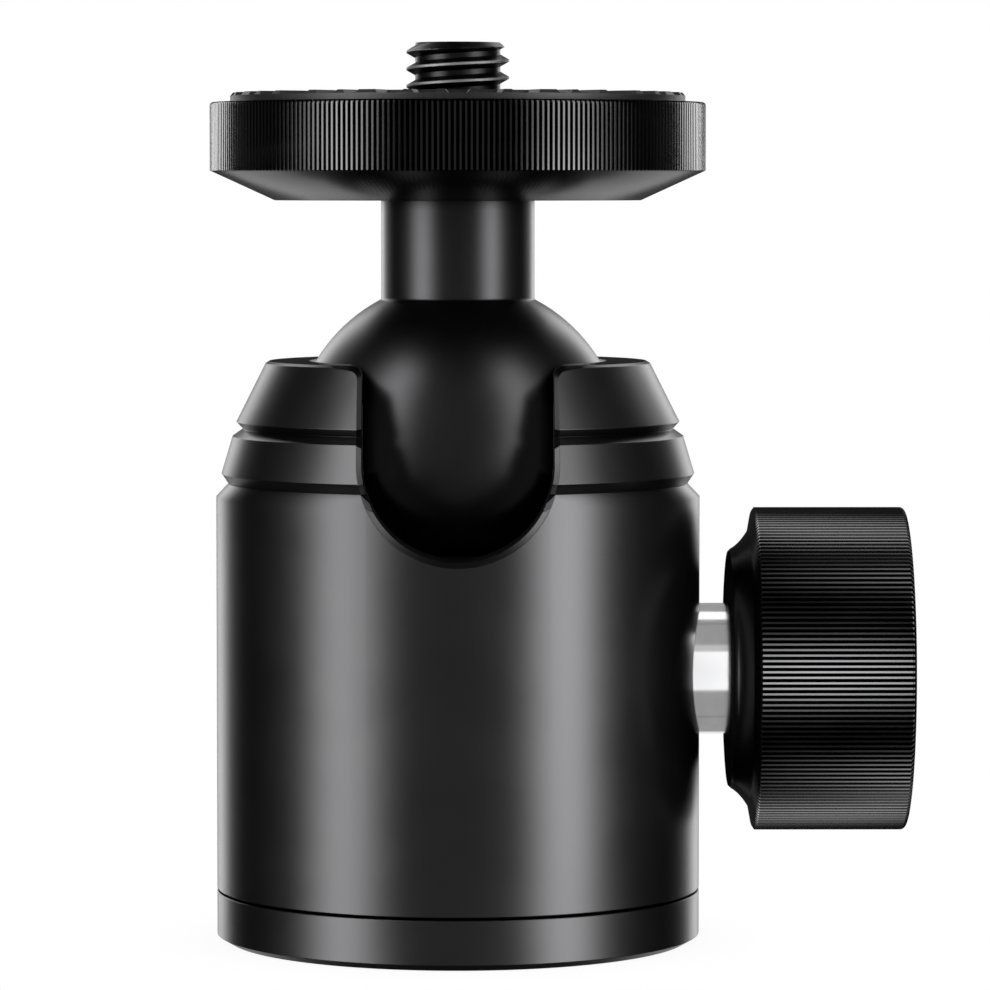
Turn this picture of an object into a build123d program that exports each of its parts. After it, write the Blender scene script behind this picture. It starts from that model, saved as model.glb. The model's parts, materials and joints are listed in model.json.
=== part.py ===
from build123d import *
import math
import os

# A compact tripod ball head: a panning base, a housing with one clamp knob at its
# side, a ball held down by a slotted collar, and a round camera platform.
#
# Millimetres. The origin is the centre of the base's underside, on the panning
# axis. +Z points up, the knob stands towards +X and the neck slot opens towards -Y.
# The neck is upright and the clamp is loose.
#
# Turning the knob clockwise, as its user sees it, draws the wedge block towards the
# knob. The wedge lifts the cup, and the cup presses the ball up into its seat liner.

# ---- Clearances ------------------------------------------------------------------
running_gap = 0.05  # radial, between a shaft or slide and its bore
press_gap = 0.02  # radial, between a fixed insert and its bore
stack_gap = 0.05  # axial, between rings and washers that are stacked with play
face_gap = 0.02  # axial, between faces that bear on each other

# ---- Tripod thread: 3/8 inch, 16 turns to the inch -------------------------------
inch = 25.4
thread_r = 0.375 * inch / 2
thread_pitch = inch / 16
thread_root_r = 3.95  # at the bottom of the stud's grooves
thread_bore_r = 4.0  # inside the socket's lands
thread_root_width = 0.2
thread_overcut = 0.1  # the grooves' cutting profile reaches this far past the lands
flank_angle = 30.0  # between each flank and the middle plane of its groove

# ---- Base ------------------------------------------------------------------------
base_height = 4.65
foot_chamfer_r = 1.05
foot_chamfer_h = 0.6
seam_gap = 0.2  # dark line between base and housing
seam_edge = 0.08  # broken edge on both sides of the seam
hub_height = 7.7
hub_roof = 0.9  # metal left over the thread insert
insert_r = 6.0
hub_wall = 2.0  # round the thread insert
insert_slot_width = 1.2
insert_slot_depth = 0.8

# ---- Pan bearing -----------------------------------------------------------------
thrust_washer_t = 0.5
thrust_washer_edge = 0.5  # the washer ends this far inside the floor's rim
washer_bore_gap = 0.2  # radial, round the hub
floor_side_wall = 3.5  # housing wall round the floor
floor_t = 4.0
spring_washer_width = 3.0  # radial, from the hub
spring_washer_t = 0.45
spring_washer_rise = 0.4
retaining_ring_width = 2.4  # radial, from the hub
retaining_ring_t = 1.0
retaining_groove_depth = 0.6
floor_screw_count = 3
floor_screw_edge = 3.2  # from the floor's rim to the screws' axes
floor_screw_r = 1.25
floor_screw_head_r = 2.2
floor_screw_head_h = 1.5
floor_screw_grip = 3.6  # length of shank held by the housing
floor_screw_key = 1.6  # hexagon socket, across flats
floor_screw_socket_depth = 0.9

# ---- Housing interior ------------------------------------------------------------
pan_pocket_side = 2.1  # room round the retaining ring
pan_pocket_h = 5.1
web_t = 4.77
spindle_above_web = 6.1
housing_rim_wall = 2.69  # between the collar's spigot and the first V groove
housing_shoulder_r = 1.15  # radial size of the bevel that ends in the first V groove
housing_shoulder_h = 1.22

# ---- Wedge and cup ---------------------------------------------------------------
wedge_slope = 0.15  # rise for each millimetre towards -X
wedge_above_spindle = 4.48  # height of the slope over the spindle's axis
wedge_end_gap = 0.225  # from the wedge's back corners to the cup's edge
wedge_front = 5.0
wedge_travel = 2.0  # towards the knob, over two turns
wedge_half_width = 5.5
cup_inset = 2.92  # the cup is this much narrower than the ball, in radius
cup_bore_r = 7.0
cup_top_drop = 10.6  # the cup's rim lies this far below the ball's centre
cup_play = 0.35  # between cup and ball while the clamp is loose
cup_past_wedge = 0.2  # the cup's slope ends this far past the wedge's travel
wedge_to_ball = 0.88

# ---- Ball, neck and slot ---------------------------------------------------------
ball_r = 15.42
neck_r = 7.13
neck_fillet = 0.25
tilt_clearance = 0.35  # between platform and housing when the neck lies in the slot
slot_side_gap = 1.52  # between the neck and the slot's sides
slot_drop = 0.7  # the slot's round end is centred this far below the ball's centre
slot_corner_r = 1.0
slot_edge = 0.5  # chamfer along the slot's outer edge

# ---- Collar ----------------------------------------------------------------------
collar_drop = 3.41  # the collar meets the housing this far below the ball's centre
spigot_h = 5.9
spigot_wall = 2.0
spigot_floor_gap = 0.1
liner_wall = 1.05
liner_above = 4.5  # liner's height over the ball's centre
liner_below = 2.0
seat_play = 0.12  # between liner and ball
mouth_play = 0.15  # between the collar's mouth and the ball
mouth_chamfer = 0.5
lower_ring_bottom_chamfer_h = 0.95
lower_ring_h = 3.45
lower_ring_top_chamfer_h = 0.69
upper_ring_bottom_chamfer_h = 0.66
upper_ring_h = 5.63
lower_ring_bottom_inset = 0.5  # insets are measured from the body's radius
lower_ring_top_inset = 1.53
upper_groove_inset = 2.5
upper_ring_bottom_inset = 1.9
upper_ring_top_inset = 4.61
collar_top_edge_r = 0.36  # radial size of the bevel round the collar's top
collar_top_edge_h = 0.22
lock_screw_r = 1.5
lock_screw_sink = 0.34  # the screw's end lies this far inside the housing's side
lock_screw_key = 1.5
lock_screw_socket_depth = 1.6
lock_screw_bite = 0.9  # depth of the dimple in the collar's spigot

# ---- Platform, pad and stud ------------------------------------------------------
platform_r = 23.0
platform_cone_r = 6.0  # radial size of the coned underside
platform_cone_h = 2.75
platform_band_h = 6.0
platform_top_edge = 0.3
platform_spigot_r = 4.5
platform_spigot_h = 1.5
pad_inset = 1.9
pad_bore_gap = 0.9  # round the stud's washer
pad_base_t = 0.58
pad_lug_h = 0.32
pad_lug_width = 3.4  # radial
pad_lug_taper = 40  # degrees
pad_quarters = 4  # the lugs' pattern repeats this many times
pad_front = -90.0  # direction of the first quarter's middle, in degrees
pad_lugs = (  # each lug's middle and width in degrees, from a quarter's middle
    (4.0, 3.2),
    (12.4, 3.4),
    (22.9, 5.8),
    (30.3, 3.0),
    (38.8, 3.4),
)
pad_inner_ring_inset = 1.8  # from the pad's bore
pad_inner_ring_width = 5.0
stud_shank_r = 3.0
stud_shank_length = 9.0  # below the platform's underside
stud_bore_spare = 1.0  # empty depth below the shank
stud_washer_rim = 0.4  # the washer stands this far past the stud's flange
stud_washer_t = 0.45
stud_flange_r = 5.9
stud_flange_t = 0.4
stud_thread_length = 4.65
stud_runout = 0.6  # from the flange to the middle of the first crest
stud_tip_chamfer_r = 0.86
stud_tip_chamfer_h = 0.775
stud_key = 4.0
stud_socket_depth = 3.0

# ---- Spindle ---------------------------------------------------------------------
spindle_thread_r = 3.0
spindle_shank_step = 0.5  # radial, over the thread
spindle_journal_r = 6.1
spindle_pilot_step = 0.6  # radial, below the thread
spindle_pilot_length = 3.2
pilot_bore_spare = 0.4
spot_face_r = 6.6
spot_face_depth = 1.9
bush_wall = 1.05
bush_barrel_length = 3.0
bush_flange_t = 0.8
spindle_washer_gap = 0.6  # radial, inside the spot face
spindle_washer_t = 0.6
spindle_ring_width = 1.9  # radial, from the shank
spindle_ring_t = 0.75
spindle_groove_depth = 0.5
spindle_drive_r = 4.0
spindle_drive_flat = 3.2
spindle_in_knob = 2.0  # length of the journal inside the knob's hub

# ---- Knob ------------------------------------------------------------------------
knob_standoff = 2.7  # from the housing's side to the knob's hub face
knob_hub_inset = 3.85  # insets are measured from the knob's radius
knob_hub_edge = 0.25
knob_waist_inset = 2.05
knob_waist_start = (1, 0.53)  # direction in which the waist's curve leaves the hub
knob_waist_length = 1.9
knob_cone_length = 0.32
knob_cone_inset = 0.3
knob_r = 15.05
knob_edge_length = 0.2
knob_length = 16.4
knob_end_edge = 0.4
knob_dish_inset = 3.05
knob_dish_depth = 0.5
knob_web_t = 1.5
knob_web_gap = 0.2
knob_screw_r = 1.95
knob_screw_grip = 5.0  # length of thread in the spindle's end
knob_screw_head_r = 3.5
knob_screw_head_h = 2.7
knob_screw_key = 3.0
knob_screw_socket_depth = 1.6
knob_cap_r = 5.0
knob_cap_t = 1.1
knob_cap_gap = 0.68  # between the screw's head and the cap
knob_cap_dome = 0.25
knob_cap_edge = 0.5  # radial size of the cap's bevel

# ---- Radii that fit one another --------------------------------------------------
cup_r = ball_r - cup_inset
guide_r = cup_r + running_gap
liner_r = ball_r + seat_play + liner_wall
liner_seat_r = liner_r + press_gap
spigot_r = liner_seat_r + spigot_wall
spigot_bore_r = spigot_r + running_gap
first_groove_r = spigot_bore_r + housing_rim_wall
body_r = first_groove_r + housing_shoulder_r  # base, housing
collar_top_r = body_r - upper_ring_top_inset
slot_r = neck_r + slot_side_gap
hub_r = insert_r + hub_wall
hub_bore_r = hub_r + running_gap
retaining_ring_r = hub_r + retaining_ring_width
pan_pocket_r = retaining_ring_r + pan_pocket_side
spring_washer_r = hub_r + spring_washer_width
floor_r = body_r - floor_side_wall
floor_seat_r = floor_r + press_gap
floor_screw_circle_r = floor_r - floor_screw_edge
thrust_washer_r = floor_r - thrust_washer_edge
wedge_back = math.sqrt(cup_r**2 - wedge_half_width**2) - wedge_end_gap
platform_underside_r = platform_r - platform_cone_r
pad_r = platform_r - pad_inset
stud_washer_r = stud_flange_r + stud_washer_rim
pad_bore_r = stud_washer_r + pad_bore_gap
pad_inner_ring_r = pad_bore_r + pad_inner_ring_inset
spindle_pilot_r = spindle_thread_r - spindle_pilot_step
spindle_shank_r = spindle_thread_r + spindle_shank_step
bush_r = spindle_shank_r + running_gap + bush_wall
journal_bore_r = spindle_journal_r + running_gap
spindle_washer_r = spot_face_r - spindle_washer_gap
spindle_ring_r = spindle_shank_r + spindle_ring_width
knob_hub_r = knob_r - knob_hub_inset
knob_waist_r = knob_r - knob_waist_inset
knob_cone_r = knob_r - knob_cone_inset
knob_dish_r = knob_r - knob_dish_inset

# ---- Heights, from the base up ---------------------------------------------------
housing_bottom = base_height + seam_gap
hub_top = base_height + hub_height
insert_top = hub_top - hub_roof
floor_bottom = base_height + thrust_washer_t + 2 * stack_gap
floor_top = floor_bottom + floor_t
spring_washer_bottom = floor_top + stack_gap
spring_washer_top = spring_washer_bottom + spring_washer_t + spring_washer_rise
retaining_ring_bottom = spring_washer_top + stack_gap
pan_pocket_top = floor_top + pan_pocket_h
web_top = pan_pocket_top + web_t
spindle_z = web_top + spindle_above_web
wedge_height = spindle_z + wedge_above_spindle
ball_z = wedge_height + wedge_to_ball + ball_r
collar_bottom = ball_z - collar_drop
spigot_bottom = collar_bottom - spigot_h
spigot_seat = spigot_bottom - spigot_floor_gap
lower_ring_bottom = collar_bottom + lower_ring_bottom_chamfer_h
lower_ring_top = lower_ring_bottom + lower_ring_h
upper_groove = lower_ring_top + lower_ring_top_chamfer_h
upper_ring_bottom = upper_groove + upper_ring_bottom_chamfer_h
collar_top = upper_ring_bottom + upper_ring_h
slot_z = ball_z - slot_drop
platform_bottom = ball_z + body_r + tilt_clearance
platform_band_bottom = platform_bottom + platform_cone_h
platform_band_top = platform_band_bottom + platform_band_h
platform_top = platform_band_top + platform_top_edge
stud_flange_bottom = platform_top + stud_washer_t + 2 * face_gap
stud_thread_bottom = stud_flange_bottom + stud_flange_t
stud_top = stud_thread_bottom + stud_thread_length
lock_screw_z = (spigot_bottom + collar_bottom) / 2

# ---- Distances from the housing's middle, along the spindle or the lock screw ----
spot_face_start = math.sqrt(guide_r**2 - spot_face_r**2) - running_gap
spot_face = guide_r + spot_face_depth
bush_seat = spot_face + bush_barrel_length
journal_start = bush_seat + bush_flange_t + stack_gap
spindle_washer_start = spot_face - stack_gap - spindle_washer_t
spindle_ring_start = spindle_washer_start - stack_gap - spindle_ring_t
shank_start = spindle_ring_start - spindle_groove_depth
pilot_start = guide_r + spindle_pilot_length
pilot_end = guide_r - pilot_bore_spare
lock_screw_tip = spigot_r - lock_screw_bite
lock_screw_start = lock_screw_tip + stack_gap
lock_screw_length = body_r - lock_screw_sink - lock_screw_start
knob_face = body_r + knob_standoff
journal_end = knob_face + spindle_in_knob
knob_waist = knob_face + knob_waist_length
knob_cone = knob_waist + knob_cone_length
knob_rim_start = knob_cone + knob_edge_length
knob_end = knob_face + knob_length
knob_dish = knob_end - knob_dish_depth
knob_cap_start = knob_dish - knob_cap_t
knob_screw_head_end = knob_cap_start - knob_cap_gap
knob_screw_head_start = knob_screw_head_end - knob_screw_head_h
knob_web_end = knob_screw_head_start - face_gap
knob_web_start = knob_web_end - knob_web_t
spindle_end = knob_web_start - knob_web_gap

spindle_axis = Axis((0, 0, spindle_z), (1, 0, 0))


def half_profile(points):
    """Return the face inside a closed outline of (X or radius, Z) points on XZ."""
    with BuildSketch(Plane.XZ) as sketch:
        with BuildLine():
            Polyline(*points, close=True)
        make_face()
    return sketch.sketch


def spindle_profile(points):
    """Return the face under (X, radius) points, closed along the spindle's axis."""
    first_x = points[0][0]
    last_x = points[-1][0]
    outline = [(x, spindle_z + radius) for x, radius in points]
    return half_profile([(first_x, spindle_z), *outline, (last_x, spindle_z)])


def thread_grooves(surface_r, root_r, middles):
    """Return the half profiles of ring grooves with 60 degree flanks.

    surface_r is the radius of the lands, root_r the radius of the grooves' bottoms
    and middles the height of each groove. The faces reach a little past the lands.
    """
    past_land = math.copysign(thread_overcut, surface_r - root_r)
    mouth_r = surface_r + past_land
    root_half = thread_root_width / 2
    mouth_half = root_half + abs(mouth_r - root_r) * math.tan(math.radians(flank_angle))
    with BuildSketch(Plane.XZ) as grooves:
        for middle in middles:
            with BuildLine():
                Polyline(
                    (mouth_r, middle - mouth_half),
                    (root_r, middle - root_half),
                    (root_r, middle + root_half),
                    (mouth_r, middle + mouth_half),
                    close=True,
                )
            make_face()
    return grooves.sketch


def ring_face(outer_r, inner_r, height):
    """Return a flat ring about the Z axis, lying at the given height."""
    with BuildSketch(Plane.XY.offset(height)) as ring:
        Circle(outer_r)
        Circle(inner_r, mode=Mode.SUBTRACT)
    return ring.sketch


def spindle_ring_face(outer_r, inner_r, start):
    """Return a flat ring about the spindle's axis, facing +X at the given X."""
    plane = Plane(origin=(start, 0, spindle_z), x_dir=(0, 1, 0), z_dir=(1, 0, 0))
    with BuildSketch(plane) as ring:
        Circle(outer_r)
        Circle(inner_r, mode=Mode.SUBTRACT)
    return ring.sketch


def slot_face():
    """Return the neck slot's outline on XZ: round below, flared at the collar's top."""
    straight_h = collar_top + slot_corner_r - slot_z
    flare_z = collar_top - slot_corner_r
    flare_half = slot_r + slot_corner_r
    with BuildSketch(Plane.XZ) as outline:
        with Locations((0, slot_z)):
            Circle(slot_r)
            Rectangle(2 * slot_r, straight_h, align=(Align.CENTER, Align.MIN))
        with Locations((0, flare_z)):
            Rectangle(2 * flare_half, 2 * slot_corner_r, align=(Align.CENTER, Align.MIN))
        with Locations((-flare_half, flare_z), (flare_half, flare_z)):
            Circle(slot_corner_r, mode=Mode.SUBTRACT)
    return outline.sketch


def slot_outer_edges(edges, least_r, least_z, most_z):
    """Return the slot's edges on the outside, beyond a radius and between two heights."""
    front = edges.filter_by(lambda edge: (edge @ 0.5).Y < 0).filter_by(GeomType.LINE, reverse=True)
    beside_slot = front.filter_by(lambda edge: abs((edge @ 0.5).X) < slot_r + slot_corner_r)
    between = beside_slot.filter_by(lambda edge: least_z < (edge @ 0.5).Z < most_z)
    return between.filter_by(lambda edge: math.hypot((edge @ 0.5).X, (edge @ 0.5).Y) > least_r)


def lock_screw_face(radius, distance):
    """Return a circle about the lock screw's axis, facing -Y at the given +Y."""
    with BuildSketch(Plane.XZ.offset(-distance)) as face:
        with Locations((0, lock_screw_z)):
            Circle(radius)
    return face.sketch


def lug_face(angle):
    """Return one lug of the pad's rim: a ring sector of the given angle about -Y."""
    with BuildSketch() as lug:
        with BuildLine():
            outer = CenterArc((0, 0), pad_r, pad_front - angle / 2, angle)
            inner = CenterArc((0, 0), pad_r - pad_lug_width, pad_front - angle / 2, angle)
            Line(outer @ 0, inner @ 0)
            Line(outer @ 1, inner @ 1)
        make_face()
    return lug.sketch


# ==== Base ========================================================================

with BuildPart() as base_plate:
    revolve(
        half_profile(
            [
                (0, 0),
                (body_r - foot_chamfer_r, 0),
                (body_r, foot_chamfer_h),
                (body_r, base_height - seam_edge),
                (body_r - seam_edge, base_height),
                (hub_r, base_height),
                (hub_r, hub_top),
                (0, hub_top),
            ]
        ),
        axis=Axis.Z,
    )
    with BuildSketch(Plane.XY):
        Circle(insert_r + press_gap)
    extrude(amount=insert_top, mode=Mode.SUBTRACT)
    groove_bottom_r = hub_r - retaining_groove_depth
    retaining_groove = ring_face(retaining_ring_r, groove_bottom_r, retaining_ring_bottom)
    extrude(retaining_groove, amount=retaining_ring_t, mode=Mode.SUBTRACT)

insert_length = insert_top - face_gap
insert_turns = math.floor(insert_length / thread_pitch)
with BuildPart() as base_thread_insert:
    extrude(ring_face(insert_r, thread_bore_r, 0), amount=insert_length)
    revolve(
        thread_grooves(
            thread_bore_r,
            thread_r,
            [(turn + 0.5) * thread_pitch for turn in range(insert_turns)],
        ),
        axis=Axis.Z,
        mode=Mode.SUBTRACT,
    )
    with BuildSketch(Plane.XY):
        Rectangle(2 * hub_r, insert_slot_width)
    extrude(amount=insert_slot_depth, mode=Mode.SUBTRACT)

with BuildPart() as pan_thrust_washer:
    extrude(
        ring_face(thrust_washer_r, hub_r + washer_bore_gap, base_height + stack_gap),
        amount=thrust_washer_t,
    )

with BuildPart() as pan_spring_washer:
    spring_inner_r = hub_r + washer_bore_gap
    revolve(
        half_profile(
            [
                (spring_inner_r, spring_washer_top - spring_washer_t),
                (spring_washer_r, spring_washer_bottom),
                (spring_washer_r, spring_washer_bottom + spring_washer_t),
                (spring_inner_r, spring_washer_top),
            ]
        ),
        axis=Axis.Z,
    )

with BuildPart() as pan_retaining_ring:
    ring_bore_r = groove_bottom_r + running_gap
    extrude(
        ring_face(retaining_ring_r, ring_bore_r, retaining_ring_bottom + face_gap),
        amount=retaining_ring_t - 2 * face_gap,
    )

# ==== Housing =====================================================================

with BuildPart() as housing:
    revolve(
        half_profile(
            [
                (0, housing_bottom),
                (body_r - seam_edge, housing_bottom),
                (body_r, housing_bottom + seam_edge),
                (body_r, collar_bottom - housing_shoulder_h),
                (first_groove_r, collar_bottom),
                (0, collar_bottom),
            ]
        ),
        axis=Axis.Z,
    )
    with BuildSketch(Plane.XY.offset(housing_bottom)):
        Circle(floor_seat_r)
    extrude(amount=floor_top - housing_bottom, mode=Mode.SUBTRACT)
    with BuildSketch(Plane.XY.offset(floor_top)):
        Circle(pan_pocket_r)
    extrude(amount=pan_pocket_h, mode=Mode.SUBTRACT)
    with BuildSketch(Plane.XY.offset(web_top)):
        Circle(guide_r)
    extrude(amount=collar_bottom - web_top, mode=Mode.SUBTRACT)
    with BuildSketch(Plane.XY.offset(spigot_seat)):
        Circle(spigot_bore_r)
    extrude(amount=collar_bottom - spigot_seat, mode=Mode.SUBTRACT)
    with Locations((0, 0, ball_z)):
        Sphere(ball_r + cup_play, mode=Mode.SUBTRACT)
    # spindle: spot face inside, bush bore, then the journal's bore to the outside
    with BuildSketch(Plane.YZ.offset(spot_face_start)):
        with Locations((0, spindle_z)):
            Circle(spot_face_r)
    extrude(amount=spot_face - spot_face_start, mode=Mode.SUBTRACT)
    with BuildSketch(Plane.YZ.offset(spot_face)):
        with Locations((0, spindle_z)):
            Circle(bush_r + press_gap)
    extrude(amount=bush_barrel_length, mode=Mode.SUBTRACT)
    with BuildSketch(Plane.YZ.offset(bush_seat)):
        with Locations((0, spindle_z)):
            Circle(journal_bore_r)
    extrude(amount=body_r, mode=Mode.SUBTRACT)
    with BuildSketch(Plane.YZ.offset(-pilot_start - pilot_bore_spare)):
        with Locations((0, spindle_z)):
            Circle(spindle_pilot_r + running_gap)
    extrude(amount=pilot_start, mode=Mode.SUBTRACT)
    # threaded holes for the floor screws
    with BuildSketch(Plane.XY.offset(floor_top)):
        with PolarLocations(floor_screw_circle_r, floor_screw_count):
            Circle(floor_screw_r + running_gap)
    extrude(amount=floor_screw_grip + stack_gap, mode=Mode.SUBTRACT)
    lock_screw_bore = lock_screw_face(lock_screw_r + running_gap, lock_screw_tip)
    extrude(lock_screw_bore, amount=-body_r, mode=Mode.SUBTRACT)
    extrude(slot_face(), amount=2 * body_r, mode=Mode.SUBTRACT)
    slot_edges = slot_outer_edges(housing.edges(), first_groove_r, 0, collar_bottom)
    chamfer(slot_edges, length=slot_edge)

with BuildPart() as housing_floor:
    extrude(ring_face(floor_r, hub_bore_r, floor_bottom), amount=floor_t)
    with Locations(Plane(origin=(0, 0, floor_bottom), x_dir=(1, 0, 0), z_dir=(0, 0, -1))):
        with PolarLocations(floor_screw_circle_r, floor_screw_count):
            CounterBoreHole(
                floor_screw_r + running_gap,
                floor_screw_head_r + running_gap,
                floor_screw_head_h + stack_gap,
                depth=floor_t,
            )

with BuildPart() as floor_screws:
    head_bottom = floor_bottom + stack_gap
    shank_bottom = floor_bottom + floor_screw_head_h
    with BuildSketch(Plane.XY.offset(head_bottom)):
        with PolarLocations(floor_screw_circle_r, floor_screw_count):
            Circle(floor_screw_head_r)
    extrude(amount=shank_bottom - head_bottom)
    with BuildSketch(Plane.XY.offset(shank_bottom)):
        with PolarLocations(floor_screw_circle_r, floor_screw_count):
            Circle(floor_screw_r)
    extrude(amount=floor_top + floor_screw_grip - shank_bottom)
    with BuildSketch(Plane.XY.offset(head_bottom)):
        with PolarLocations(floor_screw_circle_r, floor_screw_count):
            RegularPolygon(floor_screw_key / 2, 6, major_radius=False)
    extrude(amount=floor_screw_socket_depth, mode=Mode.SUBTRACT)

with BuildPart() as spindle_bush:
    extrude(
        spindle_ring_face(bush_r, spindle_shank_r + running_gap, spot_face),
        amount=bush_barrel_length,
    )
    extrude(
        spindle_ring_face(spindle_journal_r, spindle_shank_r + running_gap, bush_seat),
        amount=bush_flange_t,
    )

# ==== Collar and seat =============================================================

with BuildPart() as collar:
    revolve(
        half_profile(
            [
                (0, spigot_bottom),
                (spigot_r, spigot_bottom),
                (spigot_r, collar_bottom),
                (first_groove_r, collar_bottom),
                (body_r - lower_ring_bottom_inset, lower_ring_bottom),
                (body_r - lower_ring_top_inset, lower_ring_top),
                (body_r - upper_groove_inset, upper_groove),
                (body_r - upper_ring_bottom_inset, upper_ring_bottom),
                (collar_top_r, collar_top - collar_top_edge_h),
                (collar_top_r - collar_top_edge_r, collar_top),
                (0, collar_top),
            ]
        ),
        axis=Axis.Z,
    )
    with BuildSketch(Plane.XY.offset(spigot_bottom)):
        Circle(liner_seat_r)
    extrude(amount=ball_z + liner_above + face_gap - spigot_bottom, mode=Mode.SUBTRACT)
    with Locations((0, 0, ball_z)):
        Sphere(ball_r + mouth_play, mode=Mode.SUBTRACT)
    mouth_edge = collar.edges().filter_by(GeomType.CIRCLE).group_by(Axis.Z)[-1].sort_by(SortBy.RADIUS)[0]
    chamfer(mouth_edge, length=mouth_chamfer)
    lock_screw_bore = lock_screw_face(lock_screw_r + running_gap, lock_screw_tip)
    extrude(lock_screw_bore, amount=-body_r, mode=Mode.SUBTRACT)
    extrude(slot_face(), amount=2 * body_r, mode=Mode.SUBTRACT)
    bevel_r = collar_top_r - collar_top_edge_r
    bevel_bottom = collar_top - collar_top_edge_h
    collar_edges = slot_outer_edges(collar.edges(), bevel_r, collar_bottom, bevel_bottom)
    chamfer(collar_edges, length=slot_edge)

with BuildPart() as seat_liner:
    with BuildSketch(Plane.XY.offset(ball_z - liner_below)):
        Circle(liner_r)
    extrude(amount=liner_above + liner_below)
    with BuildSketch(Plane.XY.offset(ball_z - liner_below)):
        Circle(ball_r + seat_play)
    extrude(amount=liner_below, mode=Mode.SUBTRACT)
    with Locations((0, 0, ball_z)):
        Sphere(ball_r + seat_play, mode=Mode.SUBTRACT)
    extrude(slot_face(), amount=2 * body_r, mode=Mode.SUBTRACT)

with BuildPart() as collar_lock_screw:
    extrude(lock_screw_face(lock_screw_r, lock_screw_start), amount=-lock_screw_length)
    with BuildSketch(Plane.XZ.offset(-lock_screw_start - lock_screw_length)):
        with Locations((0, lock_screw_z)):
            RegularPolygon(lock_screw_key / 2, 6, major_radius=False)
    extrude(amount=lock_screw_socket_depth, mode=Mode.SUBTRACT)

# ==== Wedge and cup ===============================================================

with BuildPart() as wedge_block:
    with BuildSketch(Plane.XZ):
        with BuildLine():
            Polyline(
                (-wedge_back, web_top + face_gap),
                (wedge_front, web_top + face_gap),
                (wedge_front, wedge_height - wedge_slope * wedge_front),
                (-wedge_back, wedge_height + wedge_slope * wedge_back),
                close=True,
            )
        make_face()
    extrude(amount=wedge_half_width, both=True)
    with BuildSketch(Plane.YZ.offset(-wedge_back)):
        with Locations((0, spindle_z)):
            Circle(spindle_thread_r + running_gap)
    extrude(amount=wedge_back + wedge_front, mode=Mode.SUBTRACT)

# The cup's underside is the wedge's slope as far as the wedge travels, then level.
cup_slope_end = wedge_front + wedge_travel + cup_past_wedge
cup_level = wedge_height + face_gap - wedge_slope * cup_slope_end
with BuildPart() as ball_cup:
    with BuildSketch(Plane.XY.offset(web_top)):
        Circle(cup_r)
        Circle(cup_bore_r, mode=Mode.SUBTRACT)
    extrude(amount=ball_z - cup_top_drop - web_top)
    with BuildSketch(Plane.XZ):
        with BuildLine():
            Polyline(
                (-2 * cup_r, web_top),
                (2 * cup_r, web_top),
                (2 * cup_r, cup_level),
                (cup_slope_end, cup_level),
                (-2 * cup_r, wedge_height + face_gap + wedge_slope * 2 * cup_r),
                close=True,
            )
        make_face()
    extrude(amount=2 * cup_r, both=True, mode=Mode.SUBTRACT)
    with Locations((0, 0, ball_z)):
        Sphere(ball_r + cup_play, mode=Mode.SUBTRACT)

# ==== Ball ========================================================================

stud_shank_end = platform_bottom - stud_shank_length
with BuildPart() as ball_stem:
    with Locations((0, 0, ball_z)):
        Sphere(ball_r)
    with BuildSketch(Plane.XY.offset(ball_z)):
        Circle(neck_r)
    extrude(amount=platform_bottom - face_gap - ball_z)
    junction = ball_stem.edges().filter_by(GeomType.CIRCLE).group_by(Axis.Z)[-2]
    fillet(junction, radius=neck_fillet)
    with BuildSketch(Plane.XY.offset(stud_shank_end - stud_bore_spare)):
        Circle(stud_shank_r + running_gap)
    extrude(amount=stud_shank_length + stud_bore_spare, mode=Mode.SUBTRACT)
    with BuildSketch(Plane.XY.offset(platform_bottom - platform_spigot_h - face_gap)):
        Circle(platform_spigot_r + running_gap)
    extrude(amount=platform_spigot_h + face_gap, mode=Mode.SUBTRACT)

# ==== Platform, pad and stud ======================================================

with BuildPart() as platform:
    revolve(
        half_profile(
            [
                (0, platform_bottom - platform_spigot_h),
                (platform_spigot_r, platform_bottom - platform_spigot_h),
                (platform_spigot_r, platform_bottom),
                (platform_underside_r, platform_bottom),
                (platform_r, platform_band_bottom),
                (platform_r, platform_band_top),
                (platform_r - platform_top_edge, platform_top),
                (0, platform_top),
            ]
        ),
        axis=Axis.Z,
    )
    with BuildSketch(Plane.XY.offset(platform_bottom - platform_spigot_h)):
        Circle(stud_shank_r + running_gap)
    extrude(amount=platform_top + platform_spigot_h - platform_bottom, mode=Mode.SUBTRACT)

with BuildPart() as platform_pad:
    extrude(ring_face(pad_r, pad_bore_r, platform_top), amount=pad_base_t)
    lug_bottom = platform_top + pad_base_t
    inner_ring_outer_r = pad_inner_ring_r + pad_inner_ring_width
    extrude(ring_face(inner_ring_outer_r, pad_inner_ring_r, lug_bottom), amount=pad_lug_h)
    with BuildSketch(Plane.XY.offset(lug_bottom)):
        for lug_place, lug_angle in pad_lugs:
            for first_angle in (lug_place, -lug_place):
                with PolarLocations(0, pad_quarters, start_angle=first_angle):
                    add(lug_face(lug_angle))
    extrude(amount=pad_lug_h, taper=pad_lug_taper)

with BuildPart() as stud_washer:
    extrude(
        ring_face(stud_washer_r, stud_shank_r + washer_bore_gap, platform_top + face_gap),
        amount=stud_washer_t,
    )

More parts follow.
